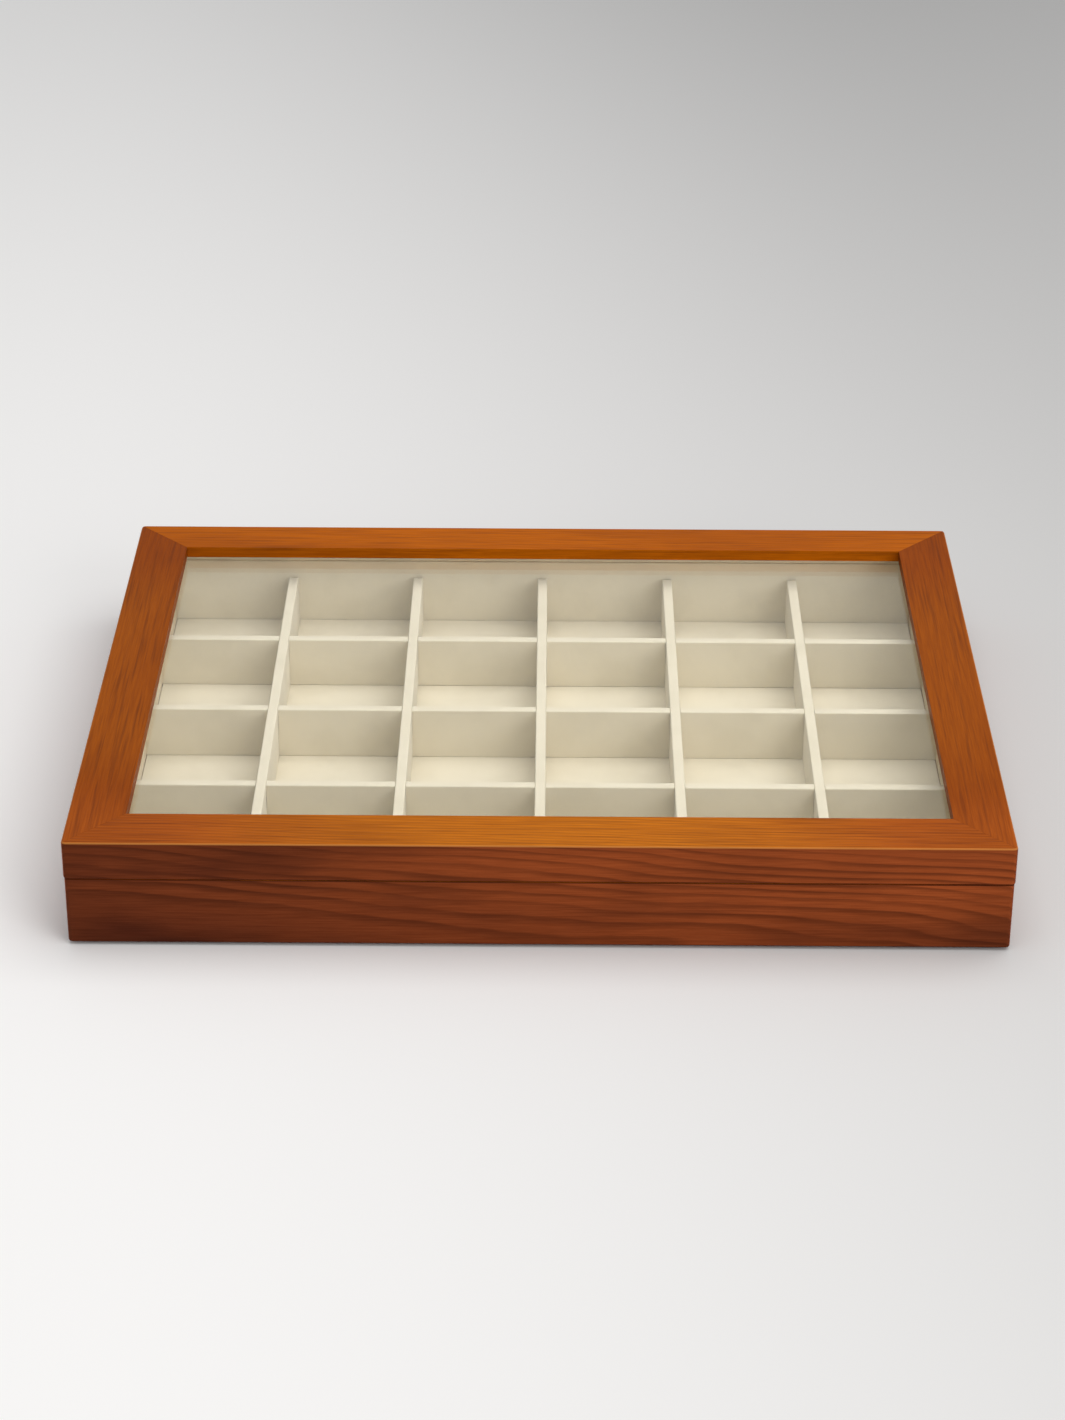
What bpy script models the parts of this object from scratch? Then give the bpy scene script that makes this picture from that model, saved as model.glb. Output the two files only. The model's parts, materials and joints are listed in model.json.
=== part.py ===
"""Glazed coin display case, at rest with its lid shut.

A mitred hardwood box stands on a felt sheet. Inside it, fabric-covered liners stand round a floor pad and
house the ends of eight half-lapped dividers, which make twenty-four compartments. The lid is a mitred,
rebated frame with a glass pane held by four beads, and it turns on two brass stop hinges at the back.

Run it with: blender --background --python part.py
Metres, +Z up, +Y towards the hinges. The origin is the middle of the felt sheet's underside.
"""

import math

import bmesh
import bpy
from mathutils import Matrix, Vector

# Overall sizes
CASE_WIDTH = 0.388
CASE_DEPTH = 0.302
BASE_HEIGHT = 0.030
LID_HEIGHT = 0.017
SEAM_GAP = 0.0005

# Clearances
FIT_GAP = 0.0003
HARDWARE_GAP = 0.0001
PIN_CLEARANCE = 0.00008

# Carcass of the base
LID_OVERHANG = 0.0003
BASE_WALL = 0.013
PANEL_THICKNESS = 0.0024
PANEL_SEAT = 0.006
FELT_THICKNESS = 0.001
FELT_INSET = 0.004

# Lid frame and glazing
LINER_CLEARANCE = 0.0011
FRAME_WIDTH = 0.024
LIP_THICKNESS = 0.0052
GLASS_THICKNESS = 0.003
GLASS_EDGE_GAP = 0.0007
GLASS_ARRIS = 0.0003
BEAD_HEIGHT = 0.003
BEAD_WIDTH = 0.0044

# Rounding of the outside
CORNER_RADIUS = 0.0020
TOP_EDGE_RADIUS = 0.0009
SEAM_EDGE_RADIUS = 0.0004
FOOT_EDGE_RADIUS = 0.0008
CORNER_STEPS = 6
EDGE_STEPS = 3
SANDING_MARGIN = 0.001
WELD = 0.000001

# Lining and dividers
LINER_THICKNESS = 0.003
LINER_HEADROOM = 0.0005
FLOOR_THICKNESS = 0.0015
COLUMNS = 6
ROWS = 4
DIVIDER_THICKNESS = 0.0045
DIVIDER_BELOW_RIM = 0.0025
DIVIDER_EDGE_RADIUS = 0.0009
GROOVE_DEPTH = 0.001
GROOVE_ABOVE_DIVIDER = 0.0015

# Loose tongues in the mitres
KEY_THICKNESS = 0.002
KEY_WIDTH = 0.008
KEY_COVER = 0.003

# Stop hinges
HINGE_LENGTH = 0.038
HINGE_INSET = 0.075
KNUCKLE_RADIUS = 0.002
KNUCKLES = 5
PIN_RADIUS = 0.001
LEAF_THICKNESS = 0.001
LEAF_REACH = 0.0118
STOP_REACH = 0.0048
STOP_ANGLE = math.radians(95)
STOP_HANG = math.radians(45)

# Hinge screws
SCREW_SPACING = 0.024
SCREW_LENGTH = 0.008
SCREW_HEAD_RADIUS = 0.0021
SCREW_HEAD_DEPTH = 0.001
SCREW_SHANK_RADIUS = 0.0009
SCREW_TIP = 0.0025
SCREW_SLOT_WIDTH = 0.0005
SCREW_SLOT_DEPTH = 0.0004
SCREW_SUNK = 0.00005

# Places that follow from the sizes
BASE_WIDTH = CASE_WIDTH - 2 * LID_OVERHANG
BASE_DEPTH = CASE_DEPTH - 2 * LID_OVERHANG
BASE_BOTTOM = FELT_THICKNESS + FIT_GAP
BASE_RIM = BASE_BOTTOM + BASE_HEIGHT
LID_BOTTOM = BASE_RIM + SEAM_GAP
LID_TOP = LID_BOTTOM + LID_HEIGHT
PANEL_TOP = BASE_BOTTOM + PANEL_THICKNESS
LINING_BOTTOM = PANEL_TOP + FIT_GAP
FLOOR_TOP = LINING_BOTTOM + FLOOR_THICKNESS
DIVIDER_BOTTOM = FLOOR_TOP + FIT_GAP
DIVIDER_TOP = BASE_RIM - DIVIDER_BELOW_RIM
GLASS_TOP = LID_TOP - LIP_THICKNESS - FIT_GAP
BEAD_TOP = GLASS_TOP - GLASS_THICKNESS - FIT_GAP
LINER_TOP = BEAD_TOP - BEAD_HEIGHT - LINER_HEADROOM
LINER_OUTER = BASE_WALL + FIT_GAP
LINER_INNER = LINER_OUTER + LINER_THICKNESS
LID_WALL = LID_OVERHANG + LINER_OUTER - LINER_CLEARANCE
INNER_WIDTH = BASE_WIDTH - 2 * LINER_INNER
INNER_DEPTH = BASE_DEPTH - 2 * LINER_INNER
COLUMN_PITCH = (INNER_WIDTH + DIVIDER_THICKNESS) / COLUMNS
ROW_PITCH = (INNER_DEPTH + DIVIDER_THICKNESS) / ROWS
HINGE_AXIS_Y = CASE_DEPTH / 2 + KNUCKLE_RADIUS + FIT_GAP
HINGE_AXIS_Z = (BASE_RIM + LID_BOTTOM) / 2
LEAF_SCREW_Y = -(LEAF_REACH + KNUCKLE_RADIUS) / 2

# Each side's turn about Z. Seen from its own side, every rail lies along X and reaches inwards along Y.
SIDES = {"front": 0, "right": math.pi / 2, "back": math.pi, "left": 3 * math.pi / 2}
CORNERS = {"front_left": (-1, -1), "front_right": (1, -1), "back_right": (1, 1), "back_left": (-1, 1)}


# ---------------------------------------------------------------- scene, materials and small helpers


def clear_scene():
    for obj in list(bpy.data.objects):
        bpy.data.objects.remove(obj)


def new_collection(name):
    collection = bpy.data.collections.new(name)
    bpy.context.scene.collection.children.link(collection)
    return collection


def new_material(name, colour, roughness, metallic=0.0, transmission=0.0):
    material = bpy.data.materials.new(name)
    material.use_nodes = True
    shader = material.node_tree.nodes["Principled BSDF"]
    shader.inputs["Base Color"].default_value = (*colour, 1)
    shader.inputs["Roughness"].default_value = roughness
    shader.inputs["Metallic"].default_value = metallic
    shader.inputs["Transmission Weight"].default_value = transmission
    material.diffuse_color = (*colour, 1)
    return material


def add_object(name, mesh, centre, parent=None, turn=0.0, material=None):
    """A named piece with its origin at centre, a point of the case, turned about Z."""
    obj = bpy.data.objects.new(name, mesh)
    parts.objects.link(obj)
    obj.parent = parent
    obj.location = Vector(centre) - (parent.location if parent else Vector())
    obj.rotation_euler.z = turn
    if material:
        mesh.materials.append(material)
    return obj


def make_cutter(obj):
    """Keeps a shape as a tool: it shapes pieces, and it is no piece itself."""
    parts.objects.unlink(obj)
    cutters.objects.link(obj)
    obj.hide_render = True
    obj.display_type = "WIRE"
    return obj


def boolean(obj, tool, operation="DIFFERENCE", solver="EXACT"):
    modifier = obj.modifiers.new(f"{operation.lower()} {tool.name}", "BOOLEAN")
    modifier.operation = operation
    modifier.solver = solver
    modifier.object = tool


def box_mesh(name, size):
    """A box centred on its own origin."""
    mesh = bpy.data.meshes.new(name)
    shape = bmesh.new()
    bmesh.ops.create_cube(shape, size=1, matrix=Matrix.Diagonal((*size, 1)))
    shape.to_mesh(mesh)
    shape.free()
    return mesh


def rod_mesh(name, radius, length, axis="X", sides=20, end_bevel=0.0):
    """A round bar centred on its own origin, along X or Z."""
    mesh = bpy.data.meshes.new(name)
    shape = bmesh.new()
    turn = Matrix.Rotation(math.pi / 2, 4, "Y") if axis == "X" else Matrix()
    bmesh.ops.create_cone(
        shape, cap_ends=True, segments=sides, radius1=radius, radius2=radius, depth=length, matrix=turn
    )
    if end_bevel:
        rims = [edge for edge in shape.edges if any(len(face.verts) > 4 for face in edge.link_faces)]
        bmesh.ops.bevel(shape, geom=rims, offset=end_bevel, segments=2, profile=0.5, affect="EDGES")
    shape.to_mesh(mesh)
    shape.free()
    smooth(mesh)
    return mesh


def smooth(mesh):
    mesh.shade_smooth()
    mesh.set_sharp_from_angle(angle=math.radians(35))


def outline_mesh(name, outline, thickness):
    """A closed outline in XY, extruded along Z by its thickness and centred on XY."""
    curve = bpy.data.curves.new(name, "CURVE")
    curve.dimensions = "2D"
    curve.fill_mode = "BOTH"
    curve.extrude = thickness / 2
    spline = curve.splines.new("POLY")
    spline.points.add(len(outline) - 1)
    for point, (x, y) in zip(spline.points, outline):
        point.co = (x, y, 0, 1)
    spline.use_cyclic_u = True
    holder = bpy.data.objects.new(name, curve)
    bpy.context.scene.collection.objects.link(holder)
    graph = bpy.context.evaluated_depsgraph_get()
    mesh = bpy.data.meshes.new_from_object(holder.evaluated_get(graph))
    bpy.data.objects.remove(holder)
    shape = bmesh.new()
    shape.from_mesh(mesh)
    bmesh.ops.remove_doubles(shape, verts=shape.verts, dist=WELD)
    bmesh.ops.recalc_face_normals(shape, faces=shape.faces)
    shape.to_mesh(mesh)
    shape.free()
    return mesh


def mitred_mesh(name, outline, length):
    """A moulding along X with 45 degree mitres. Its outline is in (depth from the outer face, height)."""
    mesh = outline_mesh(name, outline, length)
    mesh.transform(Matrix(((0, 0, 1, 0), (1, 0, 0, 0), (0, 1, 0, 0), (0, 0, 0, 1))))
    set_back = FIT_GAP / math.sqrt(2)
    for vertex in mesh.vertices:
        vertex.co.x = math.copysign(length / 2 - vertex.co.y - set_back, vertex.co.x)
    return mesh


def side_frame(side, width, depth):
    """(length of that side, centre of its outer face in plan) for a box of this width and depth."""
    across = side in ("front", "back")
    length = width if across else depth
    distance = (depth if across else width) / 2
    return length, Matrix.Rotation(SIDES[side], 3, "Z") @ Vector((0, -distance, 0))


# ---------------------------------------------------------------- wooden carcass


def envelope(name, width, depth, bottom, top, top_radius, bottom_radius, parent=None):
    """The finished outside of a mitred frame: its corners and edges as they are sanded after gluing up."""
    mesh = box_mesh(name, (width, depth, top - bottom))
    shape = bmesh.new()
    shape.from_mesh(mesh)
    uprights = [e for e in shape.edges if abs(e.verts[0].co.z - e.verts[1].co.z) > 1e-6]
    bmesh.ops.bevel(
        shape, geom=uprights, offset=CORNER_RADIUS, segments=CORNER_STEPS, profile=0.5, affect="EDGES"
    )
    for height, radius in (((top - bottom) / 2, top_radius), ((bottom - top) / 2, bottom_radius)):
        rim = [e for e in shape.edges if all(abs(v.co.z - height) < 1e-6 for v in e.verts)]
        bmesh.ops.bevel(shape, geom=rim, offset=radius, segments=EDGE_STEPS, profile=0.5, affect="EDGES")
    shape.to_mesh(mesh)
    shape.free()
    return make_cutter(add_object(name, mesh, (0, 0, (bottom + top) / 2), parent))


def rails(prefix, outline, width, depth, bottom, outside, parent=None):
    """Four mitred rails, cut oversize and then trimmed to the finished outside."""
    made = {}
    for side, turn in SIDES.items():
        length, foot = side_frame(side, width, depth)
        mesh = mitred_mesh(f"{prefix}_{side}_rail", outline, length)
        centre = foot + Vector((0, 0, bottom))
        rail = add_object(f"{prefix}_{side}_rail", mesh, centre, parent, turn, stained_wood)
        boolean(rail, outside, "INTERSECT")
        made[side] = rail
    return made


def base_rails():
    """Walls of the box, rebated below for the bottom panel."""
    rebate = BASE_WALL - PANEL_SEAT
    seat = PANEL_THICKNESS + FIT_GAP
    over = SANDING_MARGIN
    outline = [
        (-over, -over),
        (rebate, -over),
        (rebate, seat),
        (BASE_WALL, seat),
        (BASE_WALL, BASE_HEIGHT + over),
        (-over, BASE_HEIGHT + over),
    ]
    outside = envelope(
        "base_outside", BASE_WIDTH, BASE_DEPTH, BASE_BOTTOM, BASE_RIM, SEAM_EDGE_RADIUS, FOOT_EDGE_RADIUS
    )
    return rails("base", outline, BASE_WIDTH, BASE_DEPTH, BASE_BOTTOM, outside)


def lid_rails():
    """Frame of the lid: a wall with a lip over the glass."""
    rebate = LID_HEIGHT - LIP_THICKNESS
    over = SANDING_MARGIN
    outline = [
        (-over, -over),
        (LID_WALL, -over),
        (LID_WALL, rebate),
        (FRAME_WIDTH, rebate),
        (FRAME_WIDTH, LID_HEIGHT + over),
        (-over, LID_HEIGHT + over),
    ]
    outside = envelope(
        "lid_outside", CASE_WIDTH, CASE_DEPTH, LID_BOTTOM, LID_TOP, TOP_EDGE_RADIUS, SEAM_EDGE_RADIUS,
        lid_pivot,
    )
    return rails("lid", outline, CASE_WIDTH, CASE_DEPTH, LID_BOTTOM, outside, lid_pivot)


def mitre_keys(prefix, made, width, depth, wall, bottom, top, parent=None):
    """A loose tongue across each mitre, in a pocket that its two rails share."""
    offset = wall / 2 + KEY_THICKNESS / 4
    height = top - bottom - 2 * KEY_COVER
    middle = (bottom + top) / 2
    for corner, (sx, sy) in CORNERS.items():
        centre = (sx * (width / 2 - offset), sy * (depth / 2 - offset), middle)
        turn = sx * sy * math.pi / 4
        key = box_mesh(f"{prefix}_key_{corner}", (KEY_THICKNESS, KEY_WIDTH, height))
        add_object(f"{prefix}_key_{corner}", key, centre, parent, turn, key_wood)
        room = 2 * FIT_GAP
        size = (KEY_THICKNESS + room, KEY_WIDTH + room, height + room)
        pocket = box_mesh(f"{prefix}_pocket_{corner}", size)
        tool = make_cutter(add_object(pocket.name, pocket, centre, parent, turn))
        for side in corner.split("_"):
            boolean(made[side], tool)


def bottom_panel():
    """Thin board let into the rails' rebate, with felt glued below it."""
    inset = BASE_WALL - PANEL_SEAT + FIT_GAP
    size = (BASE_WIDTH - 2 * inset, BASE_DEPTH - 2 * inset, PANEL_THICKNESS)
    centre = (0, 0, BASE_BOTTOM + PANEL_THICKNESS / 2)
    add_object("bottom_panel", box_mesh("bottom_panel", size), centre, material=board)
    size = (BASE_WIDTH - 2 * FELT_INSET, BASE_DEPTH - 2 * FELT_INSET, FELT_THICKNESS)
    add_object("felt_sheet", box_mesh("felt_sheet", size), (0, 0, FELT_THICKNESS / 2), material=felt)


# ---------------------------------------------------------------- lining and dividers


def divider_places(count, pitch):
    """Centres of the dividers that part a span into count equal compartments."""
    return [(number - count / 2) * pitch for number in range(1, count)]


def liner(side, width, depth, grooves):
    """Fabric-covered board against one wall, grooved for the ends of the dividers."""
    across = side in ("front", "back")
    wall, foot = side_frame(side, width, depth)
    corner = LINER_OUTER if across else LINER_INNER + FIT_GAP
    height = LINER_TOP - LINING_BOTTOM
    inward = Matrix.Rotation(SIDES[side], 3, "Z") @ Vector((0, LINER_OUTER + LINER_THICKNESS / 2, 0))
    centre = foot + inward + Vector((0, 0, LINING_BOTTOM + height / 2))
    mesh = box_mesh(f"liner_{side}", (wall - 2 * corner, LINER_THICKNESS, height))
    board_piece = add_object(f"liner_{side}", mesh, centre, turn=SIDES[side], material=velvet)
    top = DIVIDER_TOP + GROOVE_ABOVE_DIVIDER
    size = (DIVIDER_THICKNESS + 2 * FIT_GAP, 2 * GROOVE_DEPTH, 2 * (top - LINING_BOTTOM))
    face = Matrix.Rotation(SIDES[side], 3, "Z") @ Vector((0, LINER_INNER, 0)) + foot
    along = Matrix.Rotation(SIDES[side], 3, "Z") @ Vector((1, 0, 0))
    for number, place in enumerate(grooves, 1):
        name = f"groove_{side}_{number}"
        spot = face + along * place + Vector((0, 0, LINING_BOTTOM))
        boolean(board_piece, make_cutter(add_object(name, box_mesh(name, size), spot, turn=SIDES[side])))


def floor_pad():
    size = (INNER_WIDTH - 2 * FIT_GAP, INNER_DEPTH - 2 * FIT_GAP, FLOOR_THICKNESS)
    centre = (0, 0, LINING_BOTTOM + FLOOR_THICKNESS / 2)
    add_object("floor_pad", box_mesh("floor_pad", size), centre, material=velvet)


def divider_mesh(name, length):
    """A board along X whose two upper long edges are rounded under the fabric."""
    mesh = box_mesh(name, (length, DIVIDER_THICKNESS, DIVIDER_TOP - DIVIDER_BOTTOM))
    shape = bmesh.new()
    shape.from_mesh(mesh)
    lengthwise = [e for e in shape.edges if abs(e.verts[0].co.x - e.verts[1].co.x) > length / 2]
    upper = [e for e in lengthwise if e.verts[0].co.z > 0]
    bmesh.ops.bevel(shape, geom=upper, offset=DIVIDER_EDGE_RADIUS, segments=3, profile=0.5, affect="EDGES")
    shape.to_mesh(mesh)
    shape.free()
    return mesh


def dividers(name, length, places, crossings, turn, slot_end):
    """Parallel dividers, each with a slot where it laps over or under one of the others."""
    reach = length + 2 * (GROOVE_DEPTH - FIT_GAP)
    middle = (DIVIDER_BOTTOM + DIVIDER_TOP) / 2
    height = DIVIDER_TOP - DIVIDER_BOTTOM
    turned = Matrix.Rotation(turn, 3, "Z")
    size = (DIVIDER_THICKNESS + 2 * FIT_GAP, 3 * DIVIDER_THICKNESS, height + FIT_GAP)
    for number, place in enumerate(places, 1):
        centre = turned @ Vector((0, place, 0)) + Vector((0, 0, middle))
        mesh = divider_mesh(f"{name}_{number}", reach)
        piece = add_object(f"{name}_{number}", mesh, centre, turn=turn, material=velvet)
        for crossing, along in enumerate(crossings, 1):
            slot = f"{name}_{number}_slot_{crossing}"
            spot = centre + turned @ Vector((along, 0, 0)) + Vector((0, 0, slot_end * height / 2))
            boolean(piece, make_cutter(add_object(slot, box_mesh(slot, size), spot, turn=turn)))


def lining():
    column_places = divider_places(COLUMNS, COLUMN_PITCH)
    row_places = divider_places(ROWS, ROW_PITCH)
    for side in SIDES:
        places = column_places if side in ("front", "back") else row_places
        liner(side, BASE_WIDTH, BASE_DEPTH, places)
    floor_pad()
    dividers("row_divider", INNER_WIDTH, row_places, column_places, 0.0, 1)
    dividers("column_divider", INNER_DEPTH, column_places, row_places, math.pi / 2, -1)


# ---------------------------------------------------------------- glazing


def glazing():
    """The pane under the lip, and the four beads that hold it up."""
    inset = LID_WALL + GLASS_EDGE_GAP
    mesh = box_mesh("glass_pane", (CASE_WIDTH - 2 * inset, CASE_DEPTH - 2 * inset, GLASS_THICKNESS))
    shape = bmesh.new()
    shape.from_mesh(mesh)
    bmesh.ops.bevel(shape, geom=shape.edges[:], offset=GLASS_ARRIS, segments=1, affect="EDGES")
    shape.to_mesh(mesh)
    shape.free()
    add_object("glass_pane", mesh, (0, 0, GLASS_TOP - GLASS_THICKNESS / 2), lid_pivot, material=clear_glass)
    outer = LID_WALL + FIT_GAP
    inner = outer + BEAD_WIDTH
    outline = [(outer, -BEAD_HEIGHT), (inner, -BEAD_HEIGHT), (inner, 0), (outer, 0)]
    for side, turn in SIDES.items():
        length, foot = side_frame(side, CASE_WIDTH, CASE_DEPTH)
        mesh = mitred_mesh(f"glazing_bead_{side}", outline, length)
        add_object(f"glazing_bead_{side}", mesh, foot + Vector((0, 0, BEAD_TOP)), lid_pivot, turn, velvet)


# ---------------------------------------------------------------- hinges


def strap_mesh(name, span, reach, level, tilt):
    """A flat stretch of a leaf: its span along X and its reach from the axis, tilted about the axis."""
    size = (span[1] - span[0], reach[1] - reach[0], LEAF_THICKNESS)
    mesh = box_mesh(name, size)
    middle = (sum(span) / 2, sum(reach) / 2, level)
    mesh.transform(Matrix.Rotation(tilt, 4, "X") @ Matrix.Translation(middle))
    return mesh


def hinge_leaf(name, spans, up, stop_angle, centre, countersinks, parent=None):
    """A leaf let into one rail: plate, knuckles and a stop flange behind them, in one piece of brass."""
    clear = KNUCKLE_RADIUS + HARDWARE_GAP
    inside = (PIN_RADIUS + KNUCKLE_RADIUS) / 2
    level = up * (FIT_GAP + LEAF_THICKNESS) / 2
    whole = (-HINGE_LENGTH / 2, HINGE_LENGTH / 2)
    rooted = clear + LEAF_THICKNESS
    knuckles = []
    straps = [strap_mesh(f"{name}_flange", whole, (clear, STOP_REACH), level, stop_angle)]
    for number, (low, high) in enumerate(spans, 1):
        knuckle = rod_mesh(f"{name}_knuckle_{number}", KNUCKLE_RADIUS, high - low)
        knuckle.transform(Matrix.Translation(((low + high) / 2, 0, 0)))
        knuckles.append(knuckle)
        web = (low + HARDWARE_GAP, high - HARDWARE_GAP)
        straps.append(strap_mesh(f"{name}_web_{number}", web, (-rooted, -inside), level, 0))
        straps.append(strap_mesh(f"{name}_stop_web_{number}", web, (inside, rooted), level, stop_angle))
    plate = strap_mesh(name, whole, (-LEAF_REACH, -clear), level, 0)
    leaf = add_object(name, plate, centre, parent, material=brass)
    bore = rod_mesh(f"{name}_bore", PIN_RADIUS + PIN_CLEARANCE, 2 * HINGE_LENGTH)
    steps = [(knuckle, "UNION") for knuckle in knuckles] + [(bore, "DIFFERENCE")]
    steps += [(strap, "UNION") for strap in straps]
    for mesh, operation in steps:
        tool = make_cutter(add_object(mesh.name, mesh, centre, parent))
        boolean(leaf, tool, operation, "MANIFOLD")
    for sink in countersinks:
        boolean(leaf, sink, solver="MANIFOLD")


def turned_mesh(name, profile, steps):
    """A profile of (radius, height) points, from the top down, turned about Z."""
    mesh = bpy.data.meshes.new(name)
    points = [(radius, 0, height) for radius, height in profile]
    mesh.from_pydata(points, [(i, i + 1) for i in range(len(points) - 1)], [])
    holder = bpy.data.objects.new(name, mesh)
    bpy.context.scene.collection.objects.link(holder)
    screw = holder.modifiers.new("turn", "SCREW")
    screw.steps = screw.render_steps = steps
    screw.use_merge_vertices = True
    screw.merge_threshold = 0.00001
    graph = bpy.context.evaluated_depsgraph_get()
    turned = bpy.data.meshes.new_from_object(holder.evaluated_get(graph))
    bpy.data.objects.remove(holder)
    smooth(turned)
    return turned


def hinge_screw(name, centre, up, parent=None):
    """A slotted countersunk screw. Its head looks into the seam, and its shank runs away from it."""
    neck = SCREW_HEAD_RADIUS - SCREW_SHANK_RADIUS
    profile = [
        (0, 0),
        (SCREW_HEAD_RADIUS, 0),
        (SCREW_SHANK_RADIUS, -neck),
        (SCREW_SHANK_RADIUS, SCREW_TIP - SCREW_LENGTH),
        (0, -SCREW_LENGTH),
    ]
    mesh = turned_mesh(name, profile, 16)
    slot = box_mesh(f"{name}_slot", (3 * SCREW_HEAD_RADIUS, SCREW_SLOT_WIDTH, 2 * SCREW_SLOT_DEPTH))
    if up > 0:
        mesh.transform(Matrix.Rotation(math.pi, 4, "X"))
    screw = add_object(name, mesh, centre, parent, material=brass)
    boolean(screw, make_cutter(add_object(slot.name, slot, centre, parent)))


def countersink(name, centre, up, parent=None):
    """The shape that a screw clears in the leaf and in the wood behind it."""
    neck = SCREW_HEAD_RADIUS - SCREW_SHANK_RADIUS
    wide, narrow = SCREW_HEAD_RADIUS + HARDWARE_GAP, SCREW_SHANK_RADIUS + HARDWARE_GAP
    rise = 2 * LEAF_THICKNESS
    profile = [
        (0, rise),
        (wide, rise),
        (wide, 0),
        (narrow, -neck),
        (narrow, -SCREW_LENGTH - FIT_GAP),
        (0, -SCREW_LENGTH - FIT_GAP),
    ]
    mesh = turned_mesh(name, profile, 16)
    if up > 0:
        mesh.transform(Matrix.Rotation(math.pi, 4, "X"))
    return make_cutter(add_object(name, mesh, centre, parent))


def mortise(name, centre, up, parent=None):
    """The recess in a rail's edge that takes a leaf."""
    floor = LEAF_THICKNESS + 1.5 * FIT_GAP
    reach = LEAF_REACH + FIT_GAP
    mesh = box_mesh(name, (HINGE_LENGTH + 2 * FIT_GAP, reach, 2 * floor))
    return make_cutter(add_object(name, mesh, Vector(centre) - Vector((0, reach / 2, 0)), parent))


def hinge(prefix, x, base_rail, lid_rail):
    """One stop hinge. The lid's two knuckles run between the base's three, on a pin held by the base's."""
    centre = Vector((x, HINGE_AXIS_Y, HINGE_AXIS_Z))
    step = (HINGE_LENGTH + HARDWARE_GAP) / KNUCKLES
    spans = [
        (number * step - HINGE_LENGTH / 2, (number + 1) * step - HARDWARE_GAP - HINGE_LENGTH / 2)
        for number in range(KNUCKLES)
    ]
    lid_stop = STOP_ANGLE - STOP_HANG
    leaves = (
        ("base", -1, spans[0::2], -STOP_HANG, base_rail, None),
        ("lid", 1, spans[1::2], lid_stop, lid_rail, lid_pivot),
    )
    for body, up, own, stop, rail, parent in leaves:
        countersinks = []
        boolean(rail, mortise(f"{prefix}_{body}_mortise", centre, up, parent))
        for number, sign in enumerate((-1, 1), 1):
            level = up * (FIT_GAP / 2 + SCREW_SUNK)
            spot = centre + Vector((sign * SCREW_SPACING / 2, LEAF_SCREW_Y, level))
            hinge_screw(f"{prefix}_{body}_screw_{number}", spot, up, parent)
            sink = countersink(f"{prefix}_{body}_countersink_{number}", spot, up, parent)
            countersinks.append(sink)
            boolean(rail, sink)
        hinge_leaf(f"{prefix}_{body}_leaf", own, up, stop, centre, countersinks, parent)
    pin = rod_mesh(f"{prefix}_pin", PIN_RADIUS, HINGE_LENGTH, end_bevel=PIN_RADIUS / 5)
    add_object(f"{prefix}_pin", pin, centre, material=brass)


# ---------------------------------------------------------------- the case

clear_scene()
parts = new_collection("coin_display_case")
cutters = new_collection("cutters")
stained_wood = new_material("stained_wood", (0.30, 0.085, 0.022), 0.38)
key_wood = new_material("key_wood", (0.62, 0.42, 0.22), 0.70)
board = new_material("board", (0.35, 0.20, 0.10), 0.80)
velvet = new_material("velvet", (0.80, 0.74, 0.60), 0.95)
felt = new_material("felt", (0.030, 0.022, 0.018), 1.00)
clear_glass = new_material("clear_glass", (0.92, 0.97, 0.94), 0.02, transmission=1.0)
brass = new_material("brass", (0.76, 0.55, 0.22), 0.28, metallic=1.0)

lid_pivot = bpy.data.objects.new("lid_pivot", None)
parts.objects.link(lid_pivot)
lid_pivot.location = (0, HINGE_AXIS_Y, HINGE_AXIS_Z)

base_walls = base_rails()
lid_walls = lid_rails()
mitre_keys("base", base_walls, BASE_WIDTH, BASE_DEPTH, BASE_WALL, PANEL_TOP, BASE_RIM)
mitre_keys("lid", lid_walls, CASE_WIDTH, CASE_DEPTH, LID_WALL, LID_BOTTOM, LID_TOP, lid_pivot)
bottom_panel()
lining()
glazing()
hinge("left_hinge", -(CASE_WIDTH / 2 - HINGE_INSET), base_walls["back"], lid_walls["back"])
hinge("right_hinge", CASE_WIDTH / 2 - HINGE_INSET, base_walls["back"], lid_walls["back"])
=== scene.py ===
"""Finished looks of a glazed coin display case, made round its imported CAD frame.

main() runs the operators below in order: wooden rails, lining, dividers, glazing, hardware and stage.
Metres, +Z up, +Y towards the hinges.
"""

import json
import math

import bmesh
import bpy
from bpy.props import FloatProperty, FloatVectorProperty, IntProperty, PointerProperty
from mathutils import Matrix, Vector


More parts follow.
